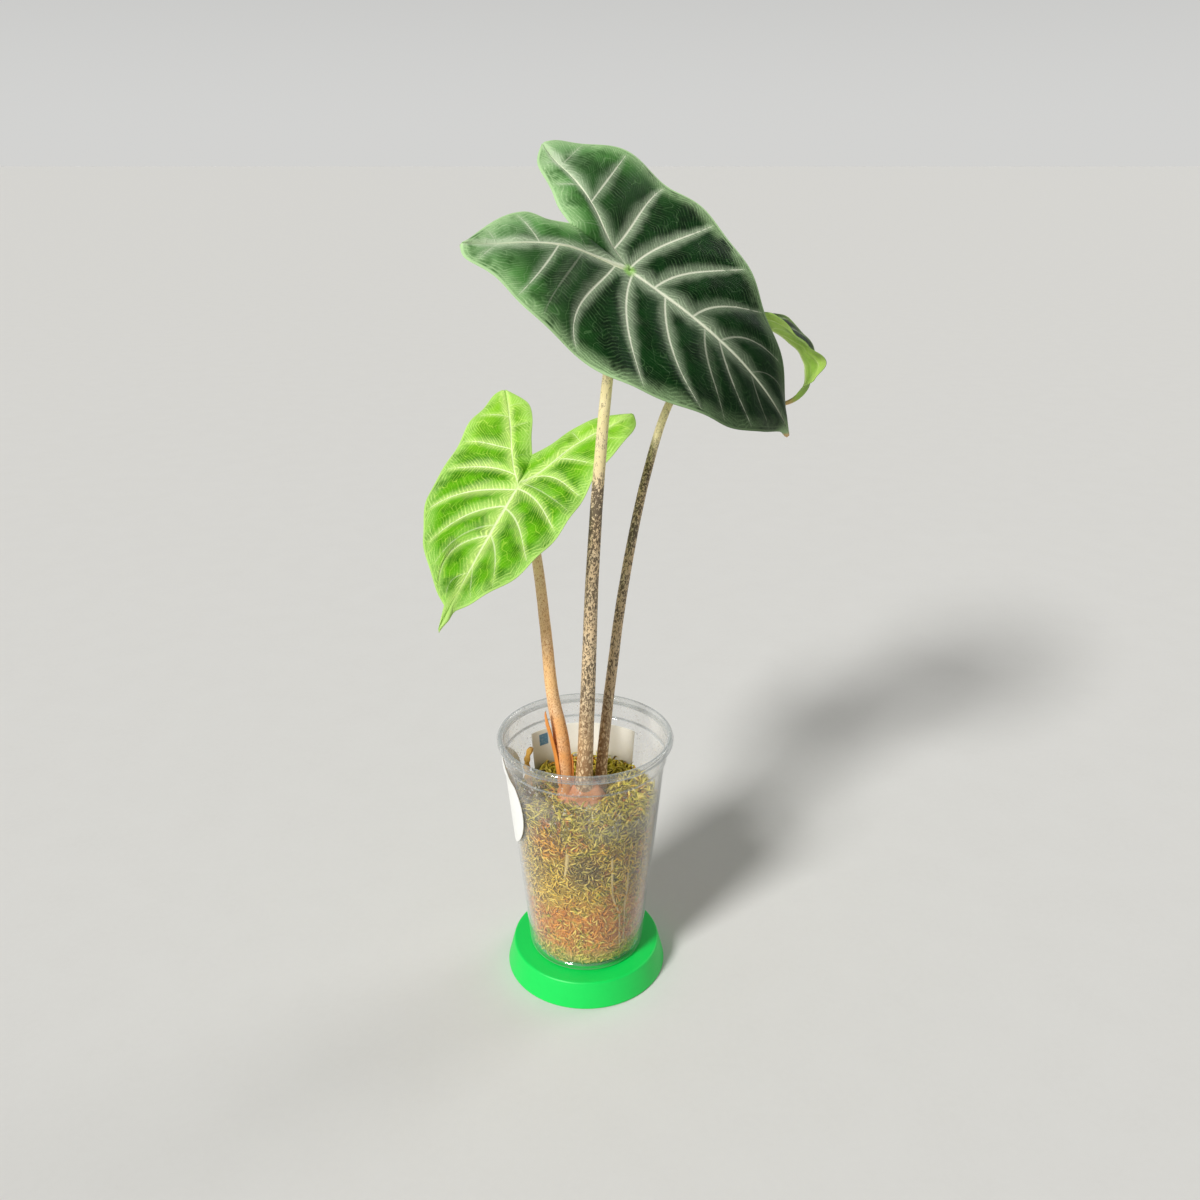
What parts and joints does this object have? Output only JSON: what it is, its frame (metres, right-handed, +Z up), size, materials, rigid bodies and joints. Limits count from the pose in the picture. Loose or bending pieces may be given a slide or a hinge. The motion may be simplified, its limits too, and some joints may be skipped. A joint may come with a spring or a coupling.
{
  "type": "potted ivory coast alocasia",
  "caption": "Young alocasia with dark silver-veined arrow-shaped leaves and a yellow-green one on long mottled stalks, in moss in a clear cup on a round green stand.",
  "frame": {"origin": "centre of the stand's flat underside, on the surface it stands on", "axes": "+Z up, -Y to the front as pictured, +X to the right"},
  "size_m": [0.2012, 0.1624, 0.4424],
  "materials": {
    "stand": "satin moulded plastic, bright emerald green",
    "cup": "clear thin plastic, with a slight haze, scratches and dried drops",
    "moss": "damp sphagnum moss, golden and tan with olive green strands",
    "crown": "fleshy plant stem, pale pink and tan",
    "petiole": "fleshy stalk, beige with dark brown mottling",
    "young_petiole": "fleshy stalk, salmon orange with fine specks",
    "sheath": "thin papery leaf sheath, orange brown",
    "dark_blade": "waxy leaf, dark green with silvery veins, paler below",
    "young_blade": "waxy young leaf, yellow green with cream veins",
    "card": "bare white card with one plain blue-grey patch",
    "sticker": "bare white paper",
    "straw": "dry straw"
  },
  "bodies": {
    "root": {"stand": "stand", "cup": "cup", "moss": "moss", "crown": "crown", "petiole_big": "petiole", "petiole_back": "petiole", "petiole_young": "young_petiole", "sheath": "sheath", "blade_big": "dark_blade", "blade_back": "dark_blade", "blade_young": "young_blade", "label_card": "card", "side_sticker": "sticker", "dried_stalk": "straw"}
  },
  "joints": []
}
